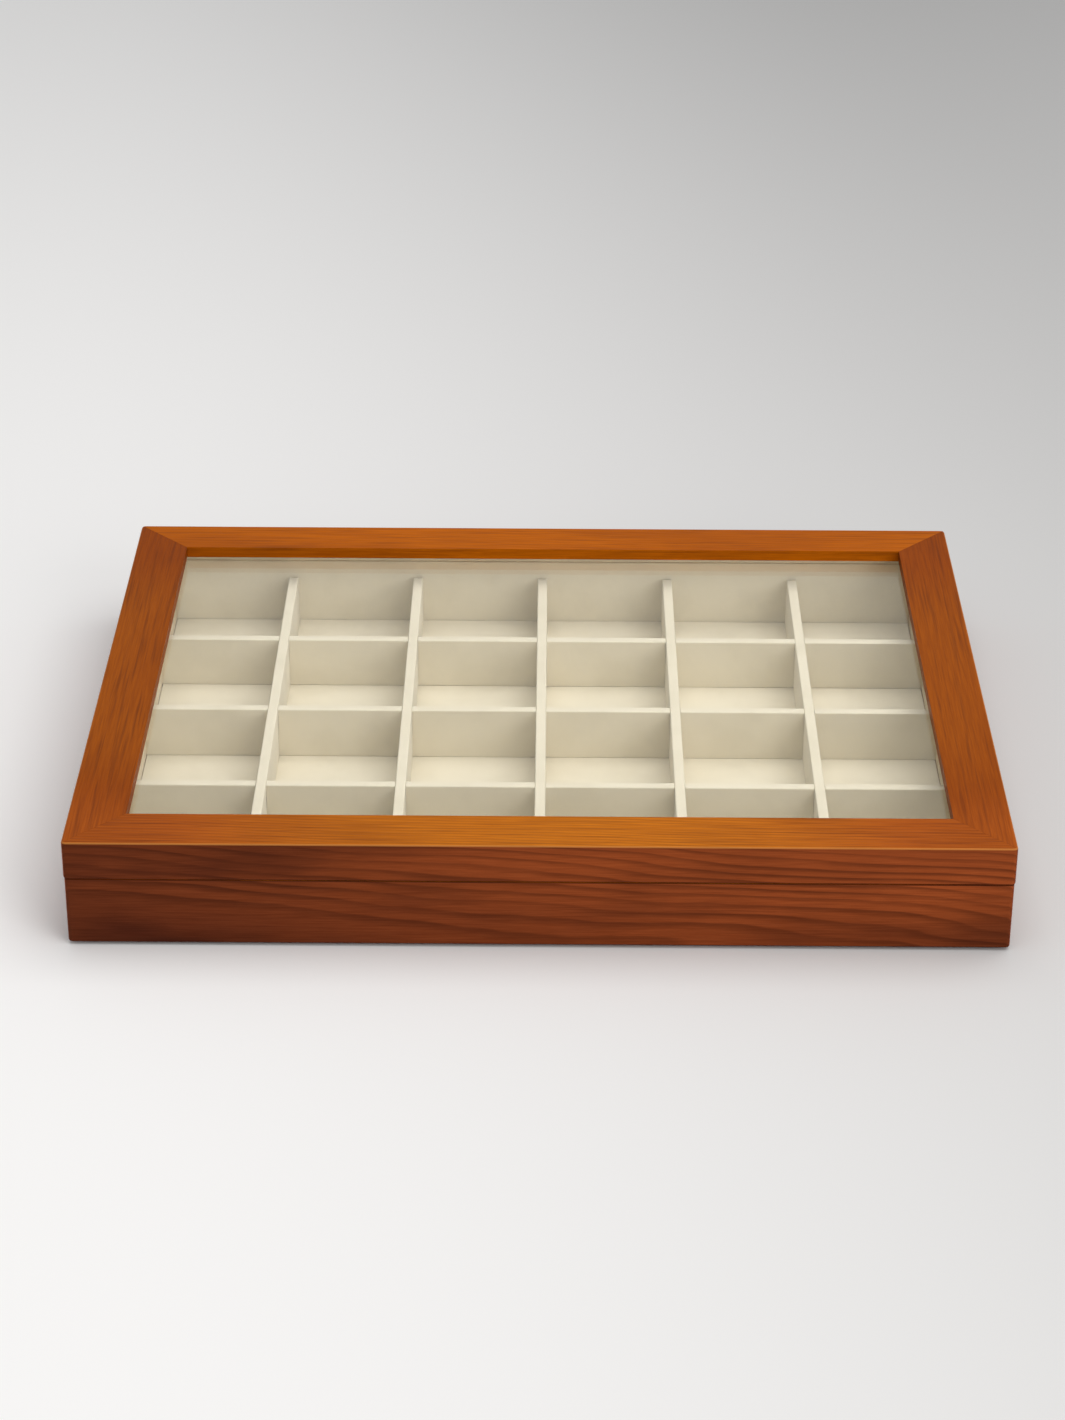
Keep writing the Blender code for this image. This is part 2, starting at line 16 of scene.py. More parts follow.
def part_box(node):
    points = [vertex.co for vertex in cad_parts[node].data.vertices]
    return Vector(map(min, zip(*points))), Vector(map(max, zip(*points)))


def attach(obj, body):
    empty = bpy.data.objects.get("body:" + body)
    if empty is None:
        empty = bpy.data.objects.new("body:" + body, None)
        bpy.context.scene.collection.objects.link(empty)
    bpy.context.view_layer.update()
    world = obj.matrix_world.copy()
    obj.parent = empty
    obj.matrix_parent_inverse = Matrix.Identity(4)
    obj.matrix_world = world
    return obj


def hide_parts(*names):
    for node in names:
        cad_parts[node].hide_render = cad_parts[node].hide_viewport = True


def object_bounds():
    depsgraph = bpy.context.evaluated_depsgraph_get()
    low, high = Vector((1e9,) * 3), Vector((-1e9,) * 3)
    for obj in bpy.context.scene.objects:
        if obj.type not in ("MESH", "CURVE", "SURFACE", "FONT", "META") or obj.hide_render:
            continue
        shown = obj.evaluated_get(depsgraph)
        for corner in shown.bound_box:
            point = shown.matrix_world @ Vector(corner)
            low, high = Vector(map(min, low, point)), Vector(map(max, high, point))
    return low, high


bl_info = {
    "name": "Coin Display Case",
    "version": (1, 0, 0),
    "blender": (4, 5, 0),
    "location": "View3D > Sidebar > Coin Case",
    "description": "Finishes a glazed coin display case round its CAD frame",
    "category": "Object",
}

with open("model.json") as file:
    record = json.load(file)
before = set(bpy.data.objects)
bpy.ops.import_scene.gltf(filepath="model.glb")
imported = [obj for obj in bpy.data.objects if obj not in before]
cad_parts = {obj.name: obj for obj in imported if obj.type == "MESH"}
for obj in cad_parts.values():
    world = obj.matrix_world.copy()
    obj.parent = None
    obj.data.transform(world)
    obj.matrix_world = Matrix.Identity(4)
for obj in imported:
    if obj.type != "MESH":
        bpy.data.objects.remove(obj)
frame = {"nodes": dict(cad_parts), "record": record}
CAD_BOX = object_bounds()

SIDES = ("front", "back", "left", "right")
HINGES = ("left_hinge", "right_hinge")
MIX_A, MIX_B, MIX_RESULT = 6, 7, 2


def joined_box(*nodes):
    """Lowest and highest corner of several CAD nodes together."""
    boxes = [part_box(node) for node in nodes]
    low = Vector(min(box[0][axis] for box in boxes) for axis in range(3))
    high = Vector(max(box[1][axis] for box in boxes) for axis in range(3))
    return low, high


ROW_NODES = sorted(name for name in frame["nodes"] if name.startswith("row_divider"))
COLUMN_NODES = sorted(name for name in frame["nodes"] if name.startswith("column_divider"))


# ---------------------------------------------------------------- settings


class WoodSettings(bpy.types.PropertyGroup):
    top_colour: FloatVectorProperty(
        name="Top", description="Top of the back rail", subtype="COLOR", default=(0.54, 0.128, 0.0020)
    )
    end_colour: FloatVectorProperty(
        name="Front ends", description="Top of the front rail near its mitres", subtype="COLOR",
        default=(0.46, 0.104, 0.011),
    )
    # Painted highlight: the warm amber middle of the tops, where the light falls.
    amber_highlight_colour: FloatVectorProperty(
        name="Amber", description="Faded middle of the front rail's top", subtype="COLOR",
        default=(0.61, 0.180, 0.010),
    )
    cross_colour: FloatVectorProperty(
        name="Side rails", description="Tops of the rails that run front to back", subtype="COLOR",
        default=(0.300, 0.060, 0.003),
    )
    corner_colour: FloatVectorProperty(
        name="Front corners", description="Tops of the rails where they meet at the front",
        subtype="COLOR", default=(0.395, 0.086, 0.008),
    )
    # Darker than the tops, partly stain and partly painted shade.
    face_colour: FloatVectorProperty(
        name="Faces", description="Stained wood on upright faces", subtype="COLOR",
        default=(0.33, 0.071, 0.019),
    )
    # Painted highlight along the lid's rounded upper edges.
    edge_highlight_colour: FloatVectorProperty(
        name="Edge highlight", description="Lid's upper edges, where the stain is rubbed thin", subtype="COLOR",
        default=(0.64, 0.255, 0.060),
    )
    # Also serves as painted shade along the seam's rounded edges and towards the front rail's left end.
    shade_colour: FloatVectorProperty(
        name="Shade", description="Darkest stain between the streaks", subtype="COLOR",
        default=(0.070, 0.0155, 0.008),
    )
    streak_colour: FloatVectorProperty(
        name="Streaks", description="Dark latewood", subtype="COLOR", default=(0.034, 0.0075, 0.0045)
    )
    ring_spacing: FloatProperty(
        name="Ring spacing", description="Distance between growth rings", unit="LENGTH", default=0.0019
    )
    roughness: FloatProperty(
        name="Roughness", description="Roughness of the satin lacquer", subtype="FACTOR", default=0.38
    )


class LiningSettings(bpy.types.PropertyGroup):
    colour: FloatVectorProperty(
        name="Cloth", description="Cream lining cloth", subtype="COLOR", default=(0.762, 0.696, 0.545)
    )
    shade_colour: FloatVectorProperty(
        name="Nap shade", description="Cloth where the nap lies the other way", subtype="COLOR",
        default=(0.716, 0.650, 0.500),
    )
    edge_radius: FloatProperty(
        name="Edge", description="Rounding of cloth over an edge", unit="LENGTH", default=0.0007
    )
    divider_edge: FloatProperty(
        name="Divider edge", description="Rounding of the cloth over a divider's edge", unit="LENGTH",
        default=0.0006,
    )
    corner_radius: FloatProperty(
        name="Divider corner", description="Easing of a divider's top corners at its ends", unit="LENGTH",
        default=0.0034,
    )
    pile_size: FloatProperty(
        name="Pile", description="Size of the grain of the pile", unit="LENGTH", default=0.00045
    )
    pillow: FloatProperty(
        name="Pillow", description="How far the floor pad sinks at the dividers", unit="LENGTH",
        default=0.0004,
    )


class HardwareSettings(bpy.types.PropertyGroup):
    brass_colour: FloatVectorProperty(
        name="Brass", description="Polished brass", subtype="COLOR", default=(0.76, 0.53, 0.20)
    )
    screw_sides: IntProperty(name="Screw sides", description="Facets round a screw head", default=28)
    slot_width: FloatProperty(
        name="Slot", description="Width of a screw's slot", unit="LENGTH", default=0.0005
    )


class StageSettings(bpy.types.PropertyGroup):
    floor_colour: FloatVectorProperty(
        name="Floor", description="Pale studio floor at its near left", subtype="COLOR",
        default=(0.97, 0.97, 0.97),
    )
    # Painted shade: the floor greys towards its far right, as if the light fell off there.
    falloff_shade_colour: FloatVectorProperty(
        name="Far floor", description="The floor's greyer far right", subtype="COLOR",
        default=(0.57, 0.57, 0.57),
    )
    key_power: FloatProperty(
        name="Key light", description="Power of the large soft light above", unit="POWER", default=15.5
    )
    key_place: FloatVectorProperty(
        name="Key place", description="Where the key light hangs", subtype="TRANSLATION",
        default=(0.34, -0.05, 1.5),
    )
    key_size: FloatProperty(
        name="Key size", description="Side of the key light", unit="LENGTH", default=1.7
    )
    fill_power: FloatProperty(
        name="Fill light", description="Power of the soft light in front", unit="POWER", default=9.5
    )
    fill_place: FloatVectorProperty(
        name="Fill place", description="Where the fill light stands", subtype="TRANSLATION",
        default=(0.95, -1.35, 0.75),
    )
    fill_size: FloatProperty(
        name="Fill size", description="Side of the fill light", unit="LENGTH", default=1.0
    )
    sky_strength: FloatProperty(name="Sky", description="Strength of the even surroundings", default=0.44)
    lens: FloatProperty(name="Lens", description="Focal length in millimetres", default=85.1)
    camera_place: FloatVectorProperty(
        name="Camera", description="Where the camera stands", subtype="TRANSLATION",
        default=(0.0043, -1.3208, 0.7406),
    )
    camera_dip: FloatProperty(
        name="Dip", description="How far the camera looks down", subtype="ANGLE",
        default=math.radians(28.28),
    )
    camera_turn: FloatProperty(
        name="Turn", description="How far the camera turns to its left", subtype="ANGLE",
        default=math.radians(0.352),
    )
    camera_roll: FloatProperty(
        name="Roll", description="How far the camera leans", subtype="ANGLE", default=math.radians(0.195)
    )


# ---------------------------------------------------------------- node trees as Python expressions


class Socket:
    """An output in a node tree. Python's operators on it add Math nodes."""

    def __init__(self, graph, socket):
        self.graph = graph
        self.socket = socket

    def __add__(self, other):
        return self.graph.math("ADD", self, other)

    __radd__ = __add__

    def __sub__(self, other):
        return self.graph.math("SUBTRACT", self, other)

    def __rsub__(self, other):
        return self.graph.math("SUBTRACT", other, self)

    def __mul__(self, other):
        return self.graph.math("MULTIPLY", self, other)

    __rmul__ = __mul__

    def __truediv__(self, other):
        return self.graph.math("DIVIDE", self, other)

    def __pow__(self, other):
        return self.graph.math("POWER", self, other)

    def larger(self, other):
        return self.graph.math("MAXIMUM", self, other)

    def fraction(self):
        return self.graph.math("FRACT", self)

    def smooth(self, low, high):
        """0 below low, 1 above high, and an easy curve between."""
        ends = {"Value": self, "From Min": low, "From Max": high}
        return self.graph.node("ShaderNodeMapRange", {"interpolation_type": "SMOOTHSTEP"}, ends)


class Graph:
    """Adds nodes to one tree, for a finish or for a shape."""

    def __init__(self, tree):
        self.tree = tree

    def node(self, kind, settings=None, values=None, output=0):
        """Adds a node: its settings first, then the values or links of its sockets. Gives its output."""
        made = self.tree.nodes.new(kind)
        for name, value in (settings or {}).items():
            setattr(made, name, value)
        for key, value in (values or {}).items():
            for source in value if isinstance(value, list) else [value]:
                if isinstance(source, Socket):
                    self.tree.links.new(source.socket, made.inputs[key])
                else:
                    made.inputs[key].default_value = source
        if isinstance(output, tuple):
            return [Socket(self, made.outputs[name]) for name in output]
        return Socket(self, made.outputs[output])

    def math(self, operation, first, second=0.0):
        return self.node("ShaderNodeMath", {"operation": operation}, {0: first, 1: second})

    def mix(self, factor, first, second, blend="MIX"):
        settings = {"data_type": "RGBA", "blend_type": blend}
        values = {0: factor, MIX_A: first, MIX_B: second}
        return self.node("ShaderNodeMix", settings, values, MIX_RESULT)


class Finish(Graph):
    """A material: its Principled shader takes the values and links that it is given."""

    def __init__(self, name):
        self.material = bpy.data.materials.new(name)
        self.material.use_nodes = True
        super().__init__(self.material.node_tree)
        self.shader = self.tree.nodes["Principled BSDF"]
        self.place, self.facing = self.node("ShaderNodeTexCoord", output=("Object", "Normal"))

    def set(self, **values):
        for name, value in values.items():
            socket = self.shader.inputs[name.replace("_", " ")]
            if isinstance(value, Socket):
                self.tree.links.new(value.socket, socket)
            else:
                socket.default_value = value

    def stretched(self, scale, vector=None, turn=0.0, shift=(0, 0, 0)):
        values = {
            "Vector": vector or self.place,
            "Scale": scale,
            "Rotation": (0, 0, turn),
            "Location": shift,
        }
        return self.node("ShaderNodeMapping", values=values)

    def noise(self, vector, scale=1.0, detail=2.0, roughness=0.5):
        values = {"Vector": vector, "Scale": scale, "Detail": detail, "Roughness": roughness}
        return self.node("ShaderNodeTexNoise", values=values)

    def parts_of(self, vector):
        return self.node("ShaderNodeSeparateXYZ", values={"Vector": vector}, output=("X", "Y", "Z"))

    def bump(self, height, distance, strength=1.0):
        values = {"Height": height, "Distance": distance, "Strength": strength}
        return self.node("ShaderNodeBump", values=values, output="Normal")


def colour(values):
    return (*values, 1.0)


# ---------------------------------------------------------------- finishes


def growth_rings(finish, log, spacing):
    """Dark bands of latewood, 0 to 1.

    They are cones round a heart that lies in front of the board and below it, and comes nearer along it.
    """
    heart_depth, heart_drop, heart_slope = 0.105, 0.012, 0.075
    bend_reach, waver_reach = 0.013, 0.0011
    along, across, up_log = finish.parts_of(log)
    bend = finish.noise(finish.stretched((4.2, 17, 17), log), detail=2) - 0.5
    waver = finish.noise(finish.stretched((26, 130, 130), log), detail=2) - 0.5
    depth = across + heart_depth
    height = up_log + heart_drop + along * heart_slope
    radius = (depth * depth + height * height) ** 0.5 + bend * bend_reach + waver * waver_reach
    phase = (radius / spacing).fraction()
    return phase.smooth(0.30, 0.86) * (1 - phase.smooth(0.86, 1.0))


def evened_corners(finish, tone, corner_colour):
    """The stain evens out the two rails' tones where they meet at a front corner."""
    inner_reach, outer_reach = 0.012, 0.060
    sideways, back, _ = finish.parts_of(finish.place)
    aside = (sideways * sideways) ** 0.5 - CAD_BOX[1][0]
    behind = back - CAD_BOX[0][1]
    corner = (aside * aside + behind * behind) ** 0.5
    return finish.mix(1 - corner.smooth(inner_reach, outer_reach), tone, colour(corner_colour))


def board_tone(finish, wood, cloud, top_stain_and_light, middle, low_end_shade, top, amber_highlight):
    """The stain before its grain, with painted light: upright faces darker than the tops, partly stain and
    partly painted shade, darkening towards the bottom and, as painted shade, towards the low end; and tops
    with a painted amber highlight in the middle.
    """
    foot, waist = 0.002, 0.034
    rise = finish.parts_of(finish.place)[2]
    # Uprights darken with the mottled cloud, towards the bottom, and with painted shade towards the low
    # end.
    dim = cloud.smooth(0.38, 0.72) * 0.45 + low_end_shade + (1 - rise.smooth(foot, waist)) * 0.26
    upright = finish.mix(dim, colour(wood.face_colour), colour(wood.shade_colour))
    # Painted highlight: the tops turn amber in the middle.
    flat_top = finish.mix(middle.smooth(0.35, 1.0) * amber_highlight, colour(top), colour(wood.amber_highlight_colour))
    flat_top = finish.mix(cloud.smooth(0.40, 0.70) * 0.40, flat_top, colour(wood.cross_colour))
    flat_top = evened_corners(finish, flat_top, wood.corner_colour)
    return finish.mix(top_stain_and_light, upright, flat_top)


def painted_edge_light(finish, wood, tone, slope, crest):
    """A painted highlight along the lid's rounded upper edges, and painted shade along the other rounded
    edges, the seam's among them.
    """
    arris = slope.smooth(0.10, 0.40) * (1 - slope.smooth(0.85, 0.99))
    tone = finish.mix(arris * crest * 0.55, tone, colour(wood.edge_highlight_colour))
    return finish.mix(arris * (1 - crest) * 0.9, tone, colour(wood.shade_colour))


def stained_wood(name, wood, turn, half, board, inward, top, amber_highlight=0.0, figure=1.0, low_end_shade=0.0):
    """Red-brown stained, satin-lacquered wood.

    turn brings the grain to X, half is half the board's length, board picks a stretch of the log, and
    inward is the axis and sign of the direction that faces the middle of the case. Faces that look up or
    towards the middle take the tops' lighter tone, partly stain and partly painted light. The last three
    are the strengths of the painted amber highlight in the middle of the tops, of the streaks and of the
    painted shade towards the low end.
    """
    finish = Finish(name)
    log = finish.stretched((1, 1, 1), turn=turn, shift=board)
    facing = finish.parts_of(finish.facing)
    axis, sign = inward
    # Tops and faces towards the middle take the tops' lighter tone, partly stain and partly painted light.
    top_stain_and_light = facing[2].smooth(0.55, 0.97).larger((facing[axis] * sign).smooth(0.5, 0.9))

    late = growth_rings(finish, log, wood.ring_spacing)
    bold = finish.noise(finish.stretched((5.5, 70, 70), log), detail=1).smooth(0.38, 0.62)
    fibre = finish.noise(finish.stretched((60, 2100, 2100), log), detail=3, roughness=0.6)
    dashes = finish.noise(finish.stretched((20, 700, 700), log), detail=2).smooth(0.48, 0.72)
    cloud = finish.noise(finish.stretched((8, 34, 34), log), detail=3)
    streaks = late * (0.50 + 0.50 * bold) * figure

    # Painted highlight in the middle of each top, and painted shade towards the low end.
    from_middle = finish.parts_of(finish.stretched((1, 1, 1), turn=turn))[0] / half
    middle = 1 - from_middle * from_middle
    shaded_low_end = (from_middle * -1).smooth(-0.4, 1.0) * low_end_shade
    tone = board_tone(finish, wood, cloud, top_stain_and_light, middle, shaded_low_end, top, amber_highlight)

    # The fronts are a little darker just under their rounded upper edge.
    lid_top, crest_low, crest_high = CAD_BOX[1][2], 0.007, 0.001
    crest = finish.parts_of(finish.place)[2].smooth(lid_top - crest_low, lid_top - crest_high)
    dark = streaks.larger(crest * 0.3) * (0.53 - 0.21 * top_stain_and_light)
    tone = finish.mix(dark, tone, colour(wood.streak_colour))
    tone = finish.mix(dashes * (0.13 + 0.20 * top_stain_and_light), tone, colour(wood.shade_colour))
    shade = finish.mix(fibre.smooth(0.25, 0.75), (0.78, 0.72, 0.68, 1), (1.12, 1.14, 1.14, 1))
    tone = finish.mix(0.8, tone, shade, "MULTIPLY")
    # Painted highlight on the lid's rounded upper edges, painted shade on the other rounded edges.
    tone = painted_edge_light(finish, wood, tone, (facing[2] * facing[2]) ** 0.5, crest)

    relief = fibre * 0.6 + late * 0.4
    pore_depth = 0.00006
    finish.set(
        Base_Color=tone,
        Roughness=wood.roughness + 0.16 * fibre - 0.04,
        Specular_IOR_Level=0.05,
        Specular_Tint=(1.0, 0.58, 0.14, 1.0),
        Normal=finish.bump(relief, pore_depth),
    )
    return finish.material


def lining_cloth(name, lining):
    """Cream short-pile cloth with soft nap marks."""
    finish = Finish(name)
    pile = finish.noise(finish.place, scale=1 / lining.pile_size, detail=2, roughness=0.7)
    nap = finish.noise(finish.place, scale=38, detail=3, roughness=0.55)
    tone = finish.mix(nap.smooth(0.40, 0.72), colour(lining.colour), colour(lining.shade_colour))
    grain = finish.mix(pile.smooth(0.2, 0.8), (0.93, 0.93, 0.93, 1), (1.03, 1.03, 1.03, 1))
    tone = finish.mix(1.0, tone, grain, "MULTIPLY")
    finish.set(
        Base_Color=tone,
        Roughness=0.94,
        Specular_IOR_Level=0.15,
        Sheen_Weight=0.18,
        Sheen_Roughness=0.45,
        Normal=finish.bump(pile + nap * 0.6, 0.00012, 0.7),
    )
    return finish.material


def wool_felt(name):
    """Dark felt: matted fibres with lighter flecks."""
    finish = Finish(name)
    matted = finish.noise(finish.place, scale=1400, detail=4, roughness=0.7)
    flecks = finish.noise(finish.stretched((300, 2600, 900)), detail=1).smooth(0.66, 0.74)
    tone = finish.mix(matted, (0.018, 0.014, 0.012, 1), (0.055, 0.045, 0.038, 1))
    tone = finish.mix(flecks * 0.35, tone, (0.14, 0.12, 0.10, 1))
    finish.set(
        Base_Color=tone, Roughness=0.98, Sheen_Weight=0.25, Normal=finish.bump(matted, 0.0002, 0.8)
    )
    return finish.material


def bare_wood(name, pale, dark, turn=0.0):
    """Unfinished pale wood with fine straight grain."""
    finish = Finish(name)
    grain = finish.noise(finish.stretched((30, 420, 420), turn=turn), detail=4, roughness=0.6)
    finish.set(
        Base_Color=finish.mix(grain.smooth(0.3, 0.7), colour(pale), colour(dark)),
        Roughness=0.75,
        Normal=finish.bump(grain, 0.0001),
    )
    return finish.material


def polished_brass(name, hardware):
    """Brass with faint buffing lines and dull patches."""
    finish = Finish(name)
    buffing = finish.noise(finish.stretched((120, 4200, 4200)), detail=3)
    dull = finish.noise(finish.place, scale=260, detail=3).smooth(0.45, 0.75)
    dark = tuple(channel * 0.62 for channel in hardware.brass_colour)
    finish.set(
        Base_Color=finish.mix(dull * 0.3, colour(hardware.brass_colour), colour(dark)),
        Metallic=1.0,
        Roughness=0.24 + 0.08 * dull + 0.06 * buffing,
        Normal=finish.bump(buffing, 0.0000015),
    )
    return finish.material


def clear_glass(name):
    """Float glass. Rays from lamps pass straight through it, so that the lining under it is lit."""
    finish = Finish(name)
    finish.set(
        Base_Color=(0.985, 0.995, 0.99, 1),
        Roughness=0.0,
        Transmission_Weight=1.0,
        IOR=1.45,
        Specular_IOR_Level=0.25,
    )
    lamp_rays = finish.node("ShaderNodeLightPath", output="Is Shadow Ray")
    through = finish.node("ShaderNodeBsdfTransparent")
    shader = Socket(finish, finish.shader.outputs[0])
    both = finish.node("ShaderNodeMixShader", values={0: lamp_rays, 1: shader, 2: through})
    output = finish.tree.nodes["Material Output"]
    finish.tree.links.new(both.socket, output.inputs["Surface"])
    return finish.material


# ---------------------------------------------------------------- meshes


def keep(obj, body, slot, *nodes):
    """Sets a finished piece on its body and hides the CAD nodes that it stands for; its slot is not used.
    """
    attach(obj, body)
    if nodes:
        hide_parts(*nodes)
    return obj


def body_of(node):
    return next(body for body, nodes in frame["record"]["behaviour"]["bodies"].items() if node in nodes)


def slot_of(node):
    return next(part["material_slot"] for part in frame["record"]["subparts"] if part["node"] == node)


def link_mesh(name, mesh, material):
    mesh.materials.clear()
    mesh.materials.append(material)
    obj = bpy.data.objects.new(name, mesh)
    bpy.context.scene.collection.objects.link(obj)
    return obj


def merged_copy(node, name):
    """A copy of a CAD node's mesh with its corners merged and its flat faces made whole."""
    mesh = frame["nodes"][node].data.copy()
    mesh.name = name
    shape = bmesh.new()
    shape.from_mesh(mesh)
    bmesh.ops.remove_doubles(shape, verts=shape.verts, dist=2e-6)
    bmesh.ops.dissolve_limit(shape, angle_limit=math.radians(0.5), verts=shape.verts, edges=shape.edges)
    shape.to_mesh(mesh)
    shape.free()
    if mesh.attributes.get("custom_normal"):
        mesh.attributes.remove(mesh.attributes["custom_normal"])
    return mesh


def block(name, low, high):
    """A plain box between two corners."""
    mesh = bpy.data.meshes.new(name)
    shape = bmesh.new()
    bmesh.ops.create_cube(shape, size=1)
    shape.transform(Matrix.Translation((low + high) / 2) @ Matrix.Diagonal((*(high - low), 1)))
    shape.to_mesh(mesh)
    shape.free()
    return mesh


def softened(obj, radius=0.0, steps=3, limit=40):
    """Rounds an object's edges, shades it smooth and keeps its flats flat. The result is a plain mesh."""
    if radius:
        bevel = obj.modifiers.new("rounding", "BEVEL")
        bevel.width = radius
        bevel.segments = steps
        bevel.limit_method = "ANGLE"
        bevel.angle_limit = math.radians(limit)
        bevel.harden_normals = False
    obj.data.shade_smooth()
    obj.data.set_sharp_from_angle(angle=math.radians(limit))
    weighted = obj.modifiers.new("flat faces", "WEIGHTED_NORMAL")
    weighted.keep_sharp = not radius
    return plain(obj)


def plain(obj):
    """Replaces an object's mesh by what its modifiers make of it, and removes them."""
    graph = bpy.context.evaluated_depsgraph_get()
    mesh = bpy.data.meshes.new_from_object(obj.evaluated_get(graph))
    obj.modifiers.clear()
    obj.data = mesh
    mesh.name = obj.name
    return obj


def grown(tree, name, inputs, points=()):
    """A plain mesh object made by a geometry tree, from its named inputs and, if given, points."""
    obj = bpy.data.objects.new(name, bpy.data.meshes.new(name))
    obj.data.from_pydata([tuple(point) for point in points], [], [])
    bpy.context.scene.collection.objects.link(obj)
    modifier = obj.modifiers.new(name, "NODES")
    modifier.node_group = tree
    sockets = {item.name: item.identifier for item in tree.interface.items_tree if item.in_out == "INPUT"}
    for key, value in inputs.items():
        modifier[sockets[key]] = value
    return plain(obj)


class Shape(Graph):
    """A geometry tree with named inputs, which ends in Realize Instances and Set Material."""

    SOCKETS = {
        "f": "NodeSocketFloat",
        "i": "NodeSocketInt",
        "g": "NodeSocketGeometry",
        "m": "NodeSocketMaterial",
    }

    def __init__(self, name, **inputs):
        super().__init__(bpy.data.node_groups.new(name, "GeometryNodeTree"))
        for key, kind in inputs.items():
            self.tree.interface.new_socket(
                name=key.replace("_", " "), in_out="INPUT", socket_type=self.SOCKETS[kind]
            )
        self.tree.interface.new_socket(name="Geometry", in_out="OUTPUT", socket_type="NodeSocketGeometry")
        self.entry = self.tree.nodes.new("NodeGroupInput")

    def input(self, name):
        return Socket(self, self.entry.outputs[name])

    def vector(self, x=0.0, y=0.0, z=0.0):
        return self.node("ShaderNodeCombineXYZ", values={"X": x, "Y": y, "Z": z})

    def moved(self, thing, offset):
        return self.node("GeometryNodeTransform", values={"Geometry": thing, "Translation": offset})

    def bar(self, width, height, radius, reach):
        """A solid bar round the origin: a rectangle with rounded corners drawn along the vector reach."""
        section = self.node(
            "GeometryNodeCurvePrimitiveQuadrilateral", values={"Width": width, "Height": height}
        )
        section = self.node(
            "GeometryNodeFilletCurve", {"mode": "POLY"},
            {"Curve": section, "Radius": radius, "Count": 5, "Limit Radius": True},
        )
        half = {"operation": "SCALE"}
        ends = {
            "Start": self.node("ShaderNodeVectorMath", half, {0: reach, "Scale": -0.5}),
            "End": self.node("ShaderNodeVectorMath", half, {0: reach, "Scale": 0.5}),
        }
        line = self.node("GeometryNodeCurvePrimitiveLine", values=ends)
        return self.node(
            "GeometryNodeCurveToMesh", values={"Curve": line, "Profile Curve": section, "Fill Caps": True}
        )

    def row(self, thing, count, pitch):
        """Evenly spaced copies of thing on both sides of the origin, one vector pitch apart."""
        halves = {0: pitch, "Scale": (1 - count) / 2}
        start = self.node("ShaderNodeVectorMath", {"operation": "SCALE"}, halves)
        settings = {"mode": "OFFSET", "count_mode": "TOTAL"}
        values = {"Count": count, "Start Location": start, "Offset": pitch}
        points = self.node("GeometryNodeMeshLine", settings, values)
        return self.node("GeometryNodeInstanceOnPoints", values={"Points": points, "Instance": thing})

    def solid(self, operation, **meshes):
        """Mesh 1 and 2 joined, intersected, or one cut out of the other."""
        values = {name.replace("_", " "): mesh for name, mesh in meshes.items()}
        settings = {"operation": operation, "solver": "EXACT"}
        return self.node("GeometryNodeMeshBoolean", settings, values)

    def finish(self, geometry):
        solid = self.node("GeometryNodeRealizeInstances", values={"Geometry": geometry})
        dressed = self.node(
            "GeometryNodeSetMaterial", values={"Geometry": solid, "Material": self.input("Finish")}
        )
        leaving = self.tree.nodes.new("NodeGroupOutput")
        self.tree.links.new(dressed.socket, leaving.inputs["Geometry"])
        return self.tree


def divider_tree():
    """Parallel cloth-covered dividers along X, with eased top corners and a slot at each crossing."""
    shape = Shape(
        "lapped_dividers", Length="f", Thickness="f", Height="f", Edge="f", Corner="f", Count="i",
        Pitch="f", Slots="i", Slot_Pitch="f", Slot_Width="f", Slot_Level="f", Finish="m",
    )
    length, height = shape.input("Length"), shape.input("Height")
    width = shape.input("Thickness")
    board = shape.bar(width, height, shape.input("Edge"), shape.vector(x=length))
    blank = shape.bar(length, height * 2, shape.input("Corner"), shape.vector(y=width * 2))
    blank = shape.moved(blank, shape.vector(z=height * -0.5))
    eased = shape.solid("INTERSECT", Mesh_2=[board, blank])
    slot = shape.node(
        "GeometryNodeMeshCube", values={"Size": shape.vector(shape.input("Slot Width"), width * 3, height)}
    )
    slot = shape.moved(slot, shape.vector(z=shape.input("Slot Level")))
    slots = shape.row(slot, shape.input("Slots"), shape.vector(x=shape.input("Slot Pitch")))
    cut = shape.solid("DIFFERENCE", Mesh_1=eased, Mesh_2=slots)
    return shape.finish(shape.row(cut, shape.input("Count"), shape.vector(y=shape.input("Pitch"))))


